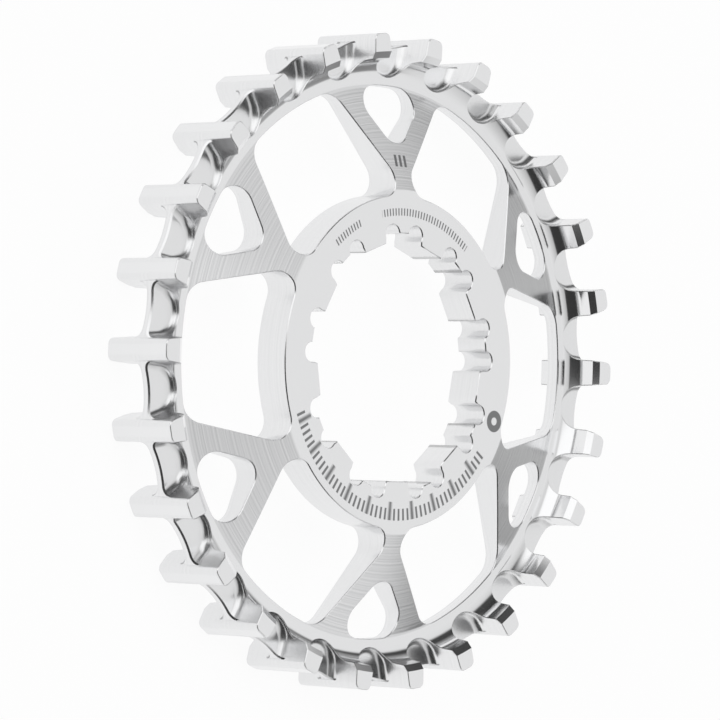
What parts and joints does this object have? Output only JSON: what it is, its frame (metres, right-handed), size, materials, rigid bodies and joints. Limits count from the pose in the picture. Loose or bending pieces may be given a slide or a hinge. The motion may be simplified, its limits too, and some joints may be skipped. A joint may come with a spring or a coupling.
{
  "type": "belt drive sprocket",
  "caption": "Rear belt drive sprocket for a bicycle: one machined ring of belt teeth with a centre rib, forked spokes and a splined bore.",
  "frame": {"origin": "on the sprocket's axis, level with the rear ends of its teeth, on which it lies", "axes": "+Z along the axis, from the rear of the sprocket to the side that faces outwards on the bicycle; a spoke, a gap between two teeth and a groove of the bore lie on +Y"},
  "size_m": [0.0892, 0.0888, 0.011],
  "materials": {
    "aluminium": "bright machined"
  },
  "bodies": {
    "root": {"sprocket": "aluminium"}
  },
  "joints": []
}
